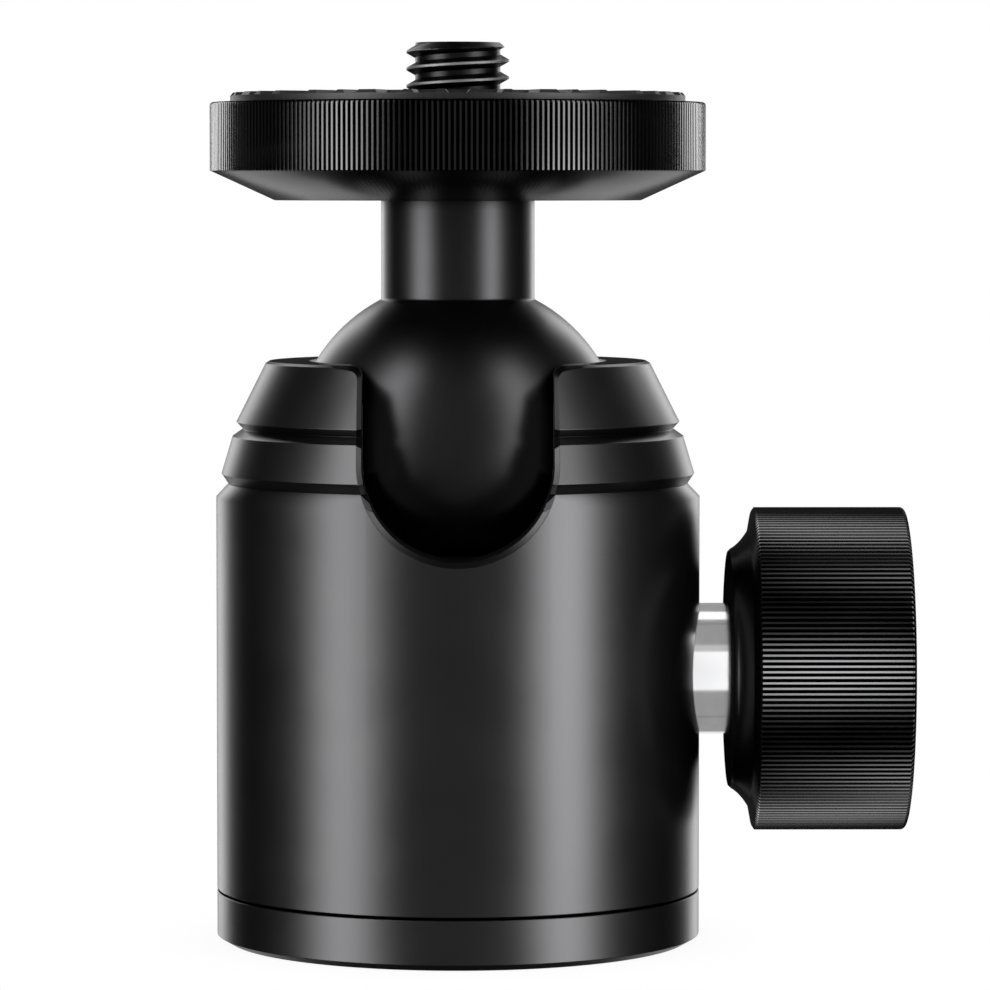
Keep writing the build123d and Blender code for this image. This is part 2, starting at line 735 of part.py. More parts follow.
crest_start = stud_thread_bottom + stud_runout
tip_start = stud_top - stud_tip_chamfer_h
crest_count = math.floor((stud_top - crest_start) / thread_pitch) + 1
with BuildPart() as camera_stud:
    revolve(
        half_profile(
            [
                (0, stud_shank_end),
                (stud_shank_r, stud_shank_end),
                (stud_shank_r, stud_flange_bottom),
                (stud_flange_r, stud_flange_bottom),
                (stud_flange_r, stud_thread_bottom),
                (thread_r, stud_thread_bottom),
                (thread_r, tip_start),
                (thread_r - stud_tip_chamfer_r, stud_top),
                (0, stud_top),
            ]
        ),
        axis=Axis.Z,
    )
    revolve(
        thread_grooves(
            thread_r,
            thread_root_r,
            [crest_start + (turn + 0.5) * thread_pitch for turn in range(crest_count)],
        ),
        axis=Axis.Z,
        mode=Mode.SUBTRACT,
    )
    with BuildSketch(Plane.XY.offset(stud_top)):
        RegularPolygon(stud_key / 2, 6, major_radius=False)
    extrude(amount=-stud_socket_depth, mode=Mode.SUBTRACT)

# ==== Spindle =====================================================================

with BuildPart() as clamp_spindle:
    revolve(
        spindle_profile(
            [
                (-pilot_start, spindle_pilot_r),
                (-pilot_end, spindle_pilot_r),
                (-pilot_end, spindle_thread_r),
                (shank_start, spindle_thread_r),
                (shank_start, spindle_shank_r),
                (spindle_ring_start, spindle_shank_r),
                (spindle_ring_start, spindle_shank_r - spindle_groove_depth),
                (spindle_washer_start - stack_gap, spindle_shank_r - spindle_groove_depth),
                (spindle_washer_start - stack_gap, spindle_shank_r),
                (journal_start, spindle_shank_r),
                (journal_start, spindle_journal_r),
                (journal_end, spindle_journal_r),
                (journal_end, spindle_drive_r),
                (spindle_end, spindle_drive_r),
            ]
        ),
        axis=spindle_axis,
    )
    drive_flat_h = spindle_drive_r - spindle_drive_flat
    with BuildSketch(Plane.YZ.offset(journal_end)):
        with Locations((0, spindle_z + spindle_drive_flat)):
            Rectangle(2 * spindle_drive_r, drive_flat_h, align=(Align.CENTER, Align.MIN))
        with Locations((0, spindle_z - spindle_drive_flat)):
            Rectangle(2 * spindle_drive_r, drive_flat_h, align=(Align.CENTER, Align.MAX))
    extrude(amount=spindle_end - journal_end, mode=Mode.SUBTRACT)
    with BuildSketch(Plane.YZ.offset(spindle_end)):
        with Locations((0, spindle_z)):
            Circle(knob_screw_r + running_gap)
    extrude(amount=-knob_screw_grip - stack_gap, mode=Mode.SUBTRACT)

with BuildPart() as spindle_washer:
    extrude(
        spindle_ring_face(spindle_washer_r, spindle_shank_r + running_gap, spindle_washer_start),
        amount=spindle_washer_t,
    )

with BuildPart() as spindle_retaining_ring:
    spindle_ring_bore_r = spindle_shank_r - spindle_groove_depth + running_gap
    extrude(
        spindle_ring_face(spindle_ring_r, spindle_ring_bore_r, spindle_ring_start + face_gap),
        amount=spindle_ring_t - 2 * face_gap,
    )

# ==== Knob ========================================================================

with BuildPart() as knob:
    with BuildSketch(Plane.XZ):
        with BuildLine():
            hub = Polyline(
                (knob_end, spindle_z),
                (knob_face, spindle_z),
                (knob_face, spindle_z + knob_hub_r - knob_hub_edge),
                (knob_face + knob_hub_edge, spindle_z + knob_hub_r),
            )
            waist_end = (knob_waist, spindle_z + knob_waist_r)
            waist = TangentArc(hub @ 1, waist_end, tangent=knob_waist_start)
            Polyline(
                waist @ 1,
                (knob_cone, spindle_z + knob_cone_r),
                (knob_rim_start, spindle_z + knob_r),
                (knob_end - knob_end_edge, spindle_z + knob_r),
                (knob_end, spindle_z + knob_r - knob_end_edge),
                (knob_end, spindle_z),
            )
        make_face()
    revolve(axis=spindle_axis)
    with BuildSketch(Plane.YZ.offset(knob_face)):
        with Locations((0, spindle_z)):
            Circle(journal_bore_r)
    extrude(amount=spindle_in_knob + stack_gap, mode=Mode.SUBTRACT)
    with BuildSketch(Plane.YZ.offset(journal_end)):
        with Locations((0, spindle_z)):
            Circle(spindle_drive_r + running_gap)
            Rectangle(
                2 * spindle_journal_r,
                2 * (spindle_drive_flat + running_gap),
                mode=Mode.INTERSECT,
            )
    extrude(amount=knob_web_start - journal_end, mode=Mode.SUBTRACT)
    with BuildSketch(Plane.YZ.offset(knob_web_start)):
        with Locations((0, spindle_z)):
            Circle(knob_screw_r + washer_bore_gap)
    extrude(amount=knob_web_t, mode=Mode.SUBTRACT)
    with BuildSketch(Plane.YZ.offset(knob_web_end)):
        with Locations((0, spindle_z)):
            Circle(knob_cap_r + press_gap)
    extrude(amount=knob_end - knob_web_end, mode=Mode.SUBTRACT)
    with BuildSketch(Plane.YZ.offset(knob_dish)):
        with Locations((0, spindle_z)):
            Circle(knob_dish_r)
    extrude(amount=knob_dish_depth, mode=Mode.SUBTRACT)

with BuildPart() as knob_screw:
    revolve(
        spindle_profile(
            [
                (spindle_end - knob_screw_grip, knob_screw_r),
                (knob_screw_head_start, knob_screw_r),
                (knob_screw_head_start, knob_screw_head_r),
                (knob_screw_head_end, knob_screw_head_r),
            ]
        ),
        axis=spindle_axis,
    )
    with BuildSketch(Plane.YZ.offset(knob_screw_head_end)):
        with Locations((0, spindle_z)):
            RegularPolygon(knob_screw_key / 2, 6, major_radius=False)
    extrude(amount=-knob_screw_socket_depth, mode=Mode.SUBTRACT)

with BuildPart() as knob_cap:
    revolve(
        spindle_profile(
            [
                (knob_cap_start, knob_cap_r),
                (knob_dish, knob_cap_r),
                (knob_dish + knob_cap_dome, knob_cap_r - knob_cap_edge),
            ]
        ),
        axis=spindle_axis,
    )

# ==== Files =======================================================================

pieces = {
    "base_plate": base_plate,
    "base_thread_insert": base_thread_insert,
    "pan_thrust_washer": pan_thrust_washer,
    "pan_spring_washer": pan_spring_washer,
    "pan_retaining_ring": pan_retaining_ring,
    "housing": housing,
    "housing_floor": housing_floor,
    "floor_screws": floor_screws,
    "spindle_bush": spindle_bush,
    "collar": collar,
    "seat_liner": seat_liner,
    "collar_lock_screw": collar_lock_screw,
    "wedge_block": wedge_block,
    "ball_cup": ball_cup,
    "ball_stem": ball_stem,
    "platform": platform,
    "platform_pad": platform_pad,
    "stud_washer": stud_washer,
    "camera_stud": camera_stud,
    "clamp_spindle": clamp_spindle,
    "spindle_washer": spindle_washer,
    "spindle_retaining_ring": spindle_retaining_ring,
    "knob": knob,
    "knob_screw": knob_screw,
    "knob_cap": knob_cap,
}
os.makedirs("parts", exist_ok=True)
for name, piece in pieces.items():
    piece.part.label = name
    export_step(piece.part, f"parts/{name}.step")
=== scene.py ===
import json
import logging
import math
from collections.abc import Sequence
from dataclasses import dataclass
from enum import Enum

import bmesh
import bpy
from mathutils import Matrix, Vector


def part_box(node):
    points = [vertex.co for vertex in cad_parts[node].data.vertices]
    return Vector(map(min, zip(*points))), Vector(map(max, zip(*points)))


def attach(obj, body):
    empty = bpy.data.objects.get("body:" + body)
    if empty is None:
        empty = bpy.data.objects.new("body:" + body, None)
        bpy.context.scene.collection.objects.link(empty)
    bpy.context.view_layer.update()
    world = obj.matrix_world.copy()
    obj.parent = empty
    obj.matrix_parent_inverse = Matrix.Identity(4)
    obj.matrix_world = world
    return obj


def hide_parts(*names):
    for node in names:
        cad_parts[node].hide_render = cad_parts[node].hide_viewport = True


# The looks of a compact tripod ball head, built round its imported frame: a panning
# base, a housing with a clamp knob, a ball in a slotted collar, and a round platform.
#
# Metres, in the frame's own axes: +Z runs up the panning axis, the knob stands
# towards +X and the neck slot opens towards -Y.

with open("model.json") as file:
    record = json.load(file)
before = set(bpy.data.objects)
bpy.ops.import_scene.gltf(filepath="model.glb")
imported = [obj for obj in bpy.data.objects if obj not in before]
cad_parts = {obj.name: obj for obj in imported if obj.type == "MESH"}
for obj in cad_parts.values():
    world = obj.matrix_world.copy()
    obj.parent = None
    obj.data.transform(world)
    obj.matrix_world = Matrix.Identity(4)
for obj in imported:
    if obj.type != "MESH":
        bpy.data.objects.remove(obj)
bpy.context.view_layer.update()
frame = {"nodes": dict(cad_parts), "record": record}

logging.basicConfig(level=logging.INFO, format="%(message)s")
log = logging.getLogger("ball_head")

MM = 0.001

KNOB = "knurled_knob"
PLATFORM = "knurled_platform"
KNURL_DEPTH = 0.3 * MM
KNOB_AXIS_LEVEL = 25.22 * MM

Point = tuple[float, float]
Profile = list[Point]
Color = tuple[float, float, float]


# ---- Shader expressions ----------------------------------------------------------


class Signal:
    """A number that a shader works out, usable in Python expressions."""

    def __init__(self, bench: "NodeBench", socket: bpy.types.NodeSocket) -> None:
        """Keep the socket and the bench that its expressions add nodes to."""
        self.bench = bench
        self.socket = socket

    def __add__(self, other: "Signal | float") -> "Signal":
        """Add."""
        return self.bench.math("ADD", self, other)

    def __radd__(self, other: float) -> "Signal":
        """Add, with the number first."""
        return self.bench.math("ADD", other, self)

    def __sub__(self, other: "Signal | float") -> "Signal":
        """Subtract."""
        return self.bench.math("SUBTRACT", self, other)

    def __rsub__(self, other: float) -> "Signal":
        """Subtract from a number."""
        return self.bench.math("SUBTRACT", other, self)

    def __mul__(self, other: "Signal | float") -> "Signal":
        """Multiply."""
        return self.bench.math("MULTIPLY", self, other)

    def __rmul__(self, other: float) -> "Signal":
        """Multiply, with the number first."""
        return self.bench.math("MULTIPLY", other, self)

    def __pow__(self, other: float) -> "Signal":
        """Raise to a power."""
        return self.bench.math("POWER", self, other)

    def sine(self) -> "Signal":
        """Return the number's sine."""
        return self.bench.math("SINE", self, 0.0)

    def above(self, limit: float) -> "Signal":
        """Return 1 where the number is above a limit, otherwise 0."""
        return self.bench.math("GREATER_THAN", self, limit)

    def below(self, limit: float) -> "Signal":
        """Return 1 where the number is below a limit, otherwise 0."""
        return self.bench.math("LESS_THAN", self, limit)

    def clamped(self) -> "Signal":
        """Return the number held between 0 and 1."""
        return self.bench.math("MINIMUM", self.bench.math("MAXIMUM", self, 0.0), 1.0)


class Blend(Enum):
    """What a Mix node blends: its data type, its two input sockets and its output."""

    COLORS = ("RGBA", 6, 7, 2)
    DIRECTIONS = ("VECTOR", 4, 5, 1)


def opaque(color: Color) -> tuple[float, float, float, float]:
    """Return a colour with its alpha, as a socket takes it."""
    return (*color, 1.0)


class NodeBench:
    """Adds nodes to the tree of one material, light or world."""

    NOISE_ROUGHNESS = 0.55
    GROOVE_SAMPLES = 8
    EDGE_SAMPLES = 6

    def __init__(self, tree: bpy.types.NodeTree) -> None:
        """Start on an emptied tree."""
        self.tree = tree
        tree.nodes.clear()

    def node(
        self,
        kind: str,
        settings: dict[str, object] | None = None,
        inputs: dict[str | int, object] | None = None,
    ) -> bpy.types.Node:
        """Add a node, set it up and then fill its sockets.

        Args:
            kind: the node's type, such as "ShaderNodeTexNoise".
            settings: the node's own properties. A ramp's stops go under "stops", as
                (position, grey level) pairs.
            inputs: a value, a Signal or an output socket for each input socket.

        Returns:
            The new node.
        """
        made = self.tree.nodes.new(kind)
        for name, value in (settings or {}).items():
            if name == "stops":
                self._set_stops(made.color_ramp, value)
            else:
                setattr(made, name, value)
        for name, value in (inputs or {}).items():
            socket = made.inputs[name]
            if isinstance(value, Signal):
                self.tree.links.new(value.socket, socket)
            elif isinstance(value, bpy.types.NodeSocket):
                self.tree.links.new(value, socket)
            else:
                socket.default_value = value
        return made

    @staticmethod
    def _set_stops(ramp: bpy.types.ColorRamp, stops: Sequence[Point]) -> None:
        """Give a ramp its stops, from left to right.

        Args:
            ramp: the ramp, with its two first stops.
            stops: (position, grey level) pairs.
        """
        while len(ramp.elements) < len(stops):
            ramp.elements.new(1.0)
        for element, (position, level) in zip(ramp.elements, stops):
            element.position = position
            element.color = opaque((level, level, level))

    def math(self, operation: str, left: "Signal | float", right: "Signal | float") -> Signal:
        """Work out one sum of two numbers.

        Args:
            operation: the Math node's operation.
            left: the first number.
            right: the second number.

        Returns:
            The result.
        """
        made = self.node("ShaderNodeMath", {"operation": operation}, {0: left, 1: right})
        return Signal(self, made.outputs[0])

    def ramp(self, value: Signal, stops: Sequence[Point]) -> Signal:
        """Pass a number through a ramp of grey levels.

        Args:
            value: the number, from 0 to 1.
            stops: (position, grey level) pairs.

        Returns:
            The grey level at that number.
        """
        made = self.node("ShaderNodeValToRGB", {"stops": stops}, {"Fac": value})
        return Signal(self, made.outputs["Color"])

    def scaled(self, vector: bpy.types.NodeSocket, by: Sequence[float]) -> bpy.types.NodeSocket:
        """Multiply a vector by another, part by part."""
        made = self.node("ShaderNodeVectorMath", {"operation": "MULTIPLY"}, {0: vector, 1: by})
        return made.outputs[0]

    def place(self) -> bpy.types.NodeSocket:
        """Return the point of the surface, in the head's own frame."""
        return self.node("ShaderNodeTexCoord").outputs["Object"]

    def noise(self, vector: bpy.types.NodeSocket, grain: float, detail: float = 2.0) -> Signal:
        """Return noise from 0 to 1.

        Args:
            vector: the point that the noise is read at.
            grain: the size of the noise's blotches, in metres.
            detail: how many finer layers it has.

        Returns:
            The noise.
        """
        inputs = {
            "Vector": vector,
            "Scale": 1 / grain,
            "Detail": detail,
            "Roughness": self.NOISE_ROUGHNESS,
        }
        made = self.node("ShaderNodeTexNoise", {"noise_dimensions": "3D"}, inputs)
        return Signal(self, made.outputs["Fac"])

    def mixed(
        self,
        blend: Blend,
        factor: Signal,
        first: "Sequence[float] | bpy.types.NodeSocket",
        second: "Sequence[float] | bpy.types.NodeSocket",
    ) -> bpy.types.NodeSocket:
        """Blend two colours or two directions.

        Args:
            blend: which of the two kinds.
            factor: 0 for the first value, 1 for the second.
            first: a colour or a direction, or the socket that gives it.
            second: another.

        Returns:
            The blended value's socket.
        """
        data_type, near, far, result = blend.value
        made = self.node(
            "ShaderNodeMix", {"data_type": data_type}, {0: factor, near: first, far: second}
        )
        return made.outputs[result]

    def openness(self, reach: float, samples: int = GROOVE_SAMPLES) -> Signal:
        """Return 1 on open surfaces, down to 0 at the bottom of narrow grooves, where shade is
        painted.

        Args:
            reach: how far other surfaces are looked for, in metres.
            samples: in how many directions they are looked for.

        Returns:
            The openness.
        """
        made = self.node("ShaderNodeAmbientOcclusion", {"samples": samples}, {"Distance": reach})
        return Signal(self, made.outputs["AO"])

    def broken_edges(self, radius: float) -> bpy.types.NodeSocket:
        """Return the surface's normal, turned near sharp edges as if they were rounded."""
        made = self.node("ShaderNodeBevel", {"samples": self.EDGE_SAMPLES}, {"Radius": radius})
        return made.outputs["Normal"]

    def upright(self) -> bpy.types.NodeSocket:
        """Work out the level direction away from the panning axis.

        Returns:
            The direction's socket, in world space.
        """
        level = self.scaled(self.place(), (1.0, 1.0, 0.0))
        turned_out = self.node(
            "ShaderNodeVectorTransform",
            {"vector_type": "NORMAL", "convert_from": "OBJECT", "convert_to": "WORLD"},
            {0: level},
        )
        made = self.node(
            "ShaderNodeVectorMath", {"operation": "NORMALIZE"}, {0: turned_out.outputs[0]}
        )
        return made.outputs[0]

    def relief(
        self, height: Signal, distance: float, normal: bpy.types.NodeSocket
    ) -> bpy.types.NodeSocket:
        """Return a normal with fine relief.

        Args:
            height: the relief, from 0 to 1.
            distance: the real height of that 1, in metres.
            normal: the normal that the relief lies on.

        Returns:
            The normal's socket.
        """
        bump = self.node(
            "ShaderNodeBump",
            inputs={"Strength": 1.0, "Distance": distance, "Height": height, "Normal": normal},
        )
        return bump.outputs["Normal"]


# ---- Finishes --------------------------------------------------------------------

BAND_MARGIN = 0.02  # how far a band reaches past its two radii, as a share of its depth
BLOTCH_STOPS = [(0.35, 0.0), (0.65, 1.0)]


@dataclass(frozen=True)
class Band:
    """A band of surface round an axis, told by its radius and its place along it.

    Attributes:
        radius: the band's outer radius.
        depth: how far it reaches in from there.
        start: where it starts along the axis.
        end: where it ends.
        level: height of a level axis along X; None for the panning axis.
    """

    radius: float
    depth: float
    start: float
    end: float
    level: float | None = None

    def place(self, x: Signal, y: Signal, z: Signal) -> tuple[Signal, Signal]:
        """Find a surface point in the band.

        Args:
            x: the point's X.
            y: its Y.
            z: its Z.

        Returns:
            How deep the point lies, 0 at the outer radius and 1 at the inner one, and
            whether it is in the band.
        """
        across, up, along = (x, y, z) if self.level is None else (y, z - self.level, x)
        radius = (across * across + up * up) ** 0.5
        depth = (self.radius - radius) * (1 / self.depth)
        inside = depth.above(-BAND_MARGIN) * depth.below(1 + BAND_MARGIN)
        return depth.clamped(), inside * along.above(self.start) * along.below(self.end)


@dataclass(frozen=True)
class Finish:
    """A surface finish.

    Attributes:
        name: the material's name.
        color: base colour where the surface is darkest.
        bloom: base colour where it is lightest.
        metallic: 1 for bare or oxidised metal, 0 for rubber and plastic.
        roughness: mean roughness.
        roughness_spread: how far the roughness strays from its mean.
        blotch: size of the blotches in colour and roughness.
        grain: size of the relief's grains.
        grain_height: height of the grains.
        turning: height of the lathe's marks round the panning axis, 0 for none.
        turning_pitch: distance between those marks.
        edge_radius: radius that sharp edges seem to have, 0 for none.
        specular: level of the reflections of a surface that isn't metal.
        painted_shade_reach: how wide the grooves are that get painted shade, darker than open
            surfaces.
        painted_shade_color: the painted shade, as the base colour at the bottom of such grooves.
        painted_shade_range: the openness where that shade colour ends, and where the open one
            starts.
        shoulder: heights between which the outside catches light as if it stood
            upright, as a softly turned shoulder does; none if they are equal.
        shoulder_radius: the shoulder's smallest radius about the panning axis.
        grooves: knurled rims, whose grooves get painted shade by their depth, darker than
            the ridges; painted_shade_reach isn't used where there are any.
        wear_and_painted_light_band: a band of another finish. On the stud it is the thread's
            crests, worn and lighter as a painted highlight; on the knob it is the hub face, dark
            as painted shade.
        wear_and_painted_light_color: base colour of that band, which carries that painted light.
        wear_and_painted_light_roughness: its roughness.
    """

    name: str
    color: Color
    bloom: Color
    metallic: float = 1.0
    roughness: float = 0.45
    roughness_spread: float = 0.03
    blotch: float = 6 * MM
    grain: float = 0.09 * MM
    grain_height: float = 0.001 * MM
    turning: float = 0.0
    turning_pitch: float = 0.12 * MM
    edge_radius: float = 0.1 * MM
    specular: float = 0.5
    painted_shade_reach: float = 1.5 * MM
    painted_shade_color: Color = (0.004, 0.004, 0.004)
    painted_shade_range: tuple[float, float] = (0.3, 0.85)
    shoulder: tuple[float, float] = (0.0, 0.0)
    shoulder_radius: float = 21.36 * MM
    grooves: tuple[Band, ...] = ()
    wear_and_painted_light_band: Band | None = None
    wear_and_painted_light_color: Color = (0.24, 0.24, 0.24)
    wear_and_painted_light_roughness: float = 0.6

    def _height(self, bench: NodeBench) -> Signal:
        """Work out the relief of the grain and of the lathe's marks.

        Args:
            bench: the material's bench.

        Returns:
            The relief, in units of grain_height.
        """
        grain = bench.noise(bench.place(), self.grain)
        if not self.turning:
            return grain
        return grain + self._turning_marks(bench) * (self.turning / self.grain_height)

    def _turning_marks(self, bench: NodeBench) -> Signal:
        """Lay uneven rings about the panning axis.

        Args:
            bench: the material's bench.

        Returns:
            The rings, from 0 to 1.
        """
        x, y, z = self._coordinates(bench)
        radius = (x * x + y * y) ** 0.5
        along = bench.node("ShaderNodeCombineXYZ", inputs={0: radius, 2: z})
        return bench.noise(along.outputs[0], self.turning_pitch, detail=1.0)

    @staticmethod
    def _coordinates(bench: NodeBench) -> list[Signal]:
        """Return the surface point's X, Y and Z."""
        split = bench.node("ShaderNodeSeparateXYZ", inputs={0: bench.place()})
        return [Signal(bench, out) for out in split.outputs]

    def _normal(self, bench: NodeBench) -> bpy.types.NodeSocket:
        """Work out the normal, with broken edges and with the soft shoulder if there is one.

        Args:
            bench: the material's bench.

        Returns:
            The normal's socket.
        """
        if not self.edge_radius:
            return bench.node("ShaderNodeNewGeometry").outputs["Normal"]
        edges = bench.broken_edges(self.edge_radius)
        low, high = self.shoulder
        if low == high:
            return edges
        x, y, z = self._coordinates(bench)
        outside = (x * x + y * y).above(self.shoulder_radius**2)
        inside = outside * z.above(low) * z.below(high)
        return bench.mixed(Blend.DIRECTIONS, inside, edges, bench.upright())

    def _openness(self, bench: NodeBench) -> Signal:
        """Tell open surfaces from the grooves that get painted shade.

        Args:
            bench: the material's bench.

        Returns:
            1 on open surfaces, down to 0 at the bottom of grooves.
        """
        if not self.grooves:
            return bench.openness(self.painted_shade_reach)
        filled = 0.0
        for band in self.grooves:
            depth, inside = band.place(*self._coordinates(bench))
            filled = depth * inside + filled
        return 1 - filled

    def material(self) -> bpy.types.Material:
        """Build the finish's material.

        Returns:
            The material, with all its nodes.
        """
        made = bpy.data.materials.new(self.name)
        made.use_nodes = True
        bench = NodeBench(made.node_tree)
        blotches = bench.ramp(bench.noise(bench.place(), self.blotch), BLOTCH_STOPS)
        surface = bench.mixed(Blend.COLORS, blotches, opaque(self.color), opaque(self.bloom))
        # Painted shade: the base colour darkens in grooves and recesses, where shade falls.
        closed, opened = self.painted_shade_range
        openness = bench.ramp(self._openness(bench), [(closed, 0.0), (opened, 1.0)])
        surface = bench.mixed(Blend.COLORS, openness, opaque(self.painted_shade_color), surface)
        spread = self.roughness_spread
        roughness = self.roughness - spread + blotches * (2 * spread)
        # The band's colour is painted light: a painted highlight on the stud's worn crests and
        # painted shade on the knob's hub face.
        if self.wear_and_painted_light_band:
            _, inside = self.wear_and_painted_light_band.place(*self._coordinates(bench))
            surface = bench.mixed(Blend.COLORS, inside, surface, opaque(self.wear_and_painted_light_color))
            roughness = roughness + inside * (self.wear_and_painted_light_roughness - self.roughness)
        normal = bench.relief(self._height(bench), self.grain_height, self._normal(bench))
        shader = bench.node(
            "ShaderNodeBsdfPrincipled",
            inputs={
                "Base Color": surface,
                "Metallic": self.metallic,
                "Specular IOR Level": self.specular,
                "Roughness": roughness,
                "Normal": normal,
            },
        )
        bench.node("ShaderNodeOutputMaterial", inputs={"Surface": shader.outputs[0]})
        return made


ANODISED = Finish(
    name="black_anodised",
    color=(0.041, 0.041, 0.042),
    bloom=(0.044, 0.044, 0.045),
    roughness=0.32,
    roughness_spread=0.006,
    shoulder=(41.25 * MM, 42.58 * MM),
)
ANODISED_BALL = Finish(
    name="black_anodised_ball",
    color=(0.03, 0.03, 0.031),
    bloom=(0.033, 0.033, 0.034),
    roughness=0.33,
    roughness_spread=0.006,
    blotch=4 * MM,
)
ANODISED_KNURL = Finish(
    name="black_anodised_knurl",
    color=(0.045, 0.045, 0.046),
    bloom=(0.049, 0.049, 0.05),
    roughness=0.2,
    roughness_spread=0.01,
    edge_radius=0.0,
    # Painted shade: the knurls' grooves darken with their depth.
    painted_shade_color=(0.012, 0.012, 0.012),
    painted_shade_range=(0.78, 1.0),
    grooves=(
        Band(23.0 * MM, KNURL_DEPTH, 71.5 * MM, 77.9 * MM),
        Band(15.05 * MM, KNURL_DEPTH, 27.7 * MM, 41.5 * MM, KNOB_AXIS_LEVEL),
    ),
    # Painted shade on the hub face, dark where the spindle would be reflected in it.
    wear_and_painted_light_band=Band(11.3 * MM, 11.3 * MM, 25.1 * MM, 25.3 * MM, KNOB_AXIS_LEVEL),
    wear_and_painted_light_color=(0.004, 0.004, 0.004),
    wear_and_painted_light_roughness=0.95,
)
BLACK_STEEL = Finish(
    name="black_oxide_steel",
    color=(0.026, 0.026, 0.027),
    bloom=(0.036, 0.036, 0.037),
    roughness=0.36,
    roughness_spread=0.04,
    blotch=1.2 * MM,
    edge_radius=0.03 * MM,
    # The thread's crests are worn and lighter, partly as a painted highlight.
    wear_and_painted_light_band=Band(4.8 * MM, 0.12 * MM, 79.2 * MM, 83.2 * MM),
)
POLISHED_STEEL = Finish(
    name="polished_steel",
    color=(0.78, 0.78, 0.79),
    bloom=(0.84, 0.84, 0.85),
    roughness=0.14,
    roughness_spread=0.02,
    blotch=2 * MM,
    grain_height=0.0003 * MM,
    painted_shade_reach=0.15 * MM,
)
SPRING_STEEL = Finish(
    name="spring_steel",
    color=(0.38, 0.38, 0.4),
    bloom=(0.48, 0.48, 0.5),
    roughness=0.34,
    roughness_spread=0.06,
    blotch=1.5 * MM,
    turning=0.002 * MM,
)
BEARING_BRONZE = Finish(
    name="bearing_bronze",
    color=(0.55, 0.36, 0.15),
    bloom=(0.66, 0.46, 0.22),
    roughness=0.38,
    roughness_spread=0.05,
    blotch=1.5 * MM,
)
SEAT_PLASTIC = Finish(
    name="seat_plastic",
    color=(0.026, 0.026, 0.028),
    bloom=(0.034, 0.034, 0.036),
    metallic=0.0,
    roughness=0.5,
    blotch=3 * MM,
    grain=0.15 * MM,
    grain_height=0.003 * MM,
)
PAD_RUBBER = Finish(
    name="pad_rubber",
    color=(0.0068, 0.0068, 0.0068),
    bloom=(0.008, 0.008, 0.008),
    metallic=0.0,
    roughness=0.46,
    roughness_spread=0.012,
    blotch=2.5 * MM,
    grain=0.12 * MM,
    grain_height=0.004 * MM,
    edge_radius=0.06 * MM,
    specular=0.42,
)

FINISH_OF_SLOT = {
    "anodised_body": ANODISED,
    "anodised_ball": ANODISED_BALL,
    "anodised_knurl": ANODISED_KNURL,
    "black_steel": BLACK_STEEL,
    "polished_steel": POLISHED_STEEL,
    "spring_steel": SPRING_STEEL,
    "bearing_bronze": BEARING_BRONZE,
    "seat_plastic": SEAT_PLASTIC,
    "pad_rubber": PAD_RUBBER,
}


class Paintbox:
    """Keeps one material for each of the record's slots."""

    def __init__(self) -> None:
        """Build every finish once."""
        self.materials = {slot: finish.material() for slot, finish in FINISH_OF_SLOT.items()}
        subparts = frame["record"]["subparts"]
        self.slot_of_node = {part["node"]: part["material_slot"] for part in subparts}

    def dress_nodes(self, *nodes: str) -> None:
        """Give carried-over CAD nodes their finishes.

        Args:
            nodes: the nodes' names.
        """
        for node in nodes:
            mesh = frame["nodes"][node].data
            mesh.materials.clear()
            mesh.materials.append(self.materials[self.slot_of_node[node]])
            log.info("dressed %s", node)

    def dress_extra(self, piece: bpy.types.Object, slot: str, body: str) -> None:
        """Add a new piece in the finish of one slot.

        Args:
            piece: the new object.
            slot: the slot that it is made of.
            body: the body that it rides on.
        """
        piece.data.materials.append(self.materials[slot])
        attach(piece, body)
        log.info("built %s: %d faces", piece.name, len(piece.data.polygons))

    def dress_piece(self, piece: bpy.types.Object, node: str, body: str) -> None:
        """Let a new piece stand for a CAD node, in that node's finish.

        Args:
            piece: the new object.
            node: the CAD node that it replaces.
            body: the body that it rides on.
        """
        self.dress_extra(piece, self.slot_of_node[node], body)
        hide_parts(node)


# ---- Turned meshes ---------------------------------------------------------------

MERGE_DISTANCE = 0.0008 * MM
CREASE_ANGLE = math.radians(28)  # faces that meet at more than this meet in a crease
LEAST_STEP = 1e-12  # keeps a division by a step along an edge from being one by zero


@dataclass(frozen=True)
class SpinAxis:
    """An axis that pieces are turned about.

    Attributes:
        origin: where the axis starts.
        across: the direction that angles are counted from.
        up: the direction a quarter turn further on.
        along: the axis's own direction.
    """

    origin: Vector
    across: Vector
    up: Vector
    along: Vector

    def point(self, turn: float, radius: float, place: float) -> Vector:
        """Return a point in the head's frame.

        Args:
            turn: angle about the axis, in radians.
            radius: distance from the axis.
            place: distance along the axis from its origin.

        Returns:
            The point.
        """
        away = self.across * math.cos(turn) + self.up * math.sin(turn)
        return self.origin + away * radius + self.along * place


X_AXIS = Vector((1.0, 0.0, 0.0))
Y_AXIS = Vector((0.0, 1.0, 0.0))
Z_AXIS = Vector((0.0, 0.0, 1.0))
PAN = SpinAxis(Vector((0.0, 0.0, 0.0)), X_AXIS, Y_AXIS, Z_AXIS)


def finished_mesh(name: str, shape: bmesh.types.BMesh) -> bpy.types.Object:
    """Turn a bmesh into an object with smooth faces and sharp creases.

    Args:
        name: the object's name.
        shape: the bmesh, which is freed.

    Returns:
        The object, linked to the scene.
    """
    bmesh.ops.recalc_face_normals(shape, faces=shape.faces)
    for face in shape.faces:
        face.smooth = True
    for edge in shape.edges:
        edge.smooth = edge.calc_face_angle(0.0) < CREASE_ANGLE
    mesh = bpy.data.meshes.new(name)
    shape.to_mesh(mesh)
    shape.free()
    made = bpy.data.objects.new(name, mesh)
    bpy.context.scene.collection.objects.link(made)
    return made


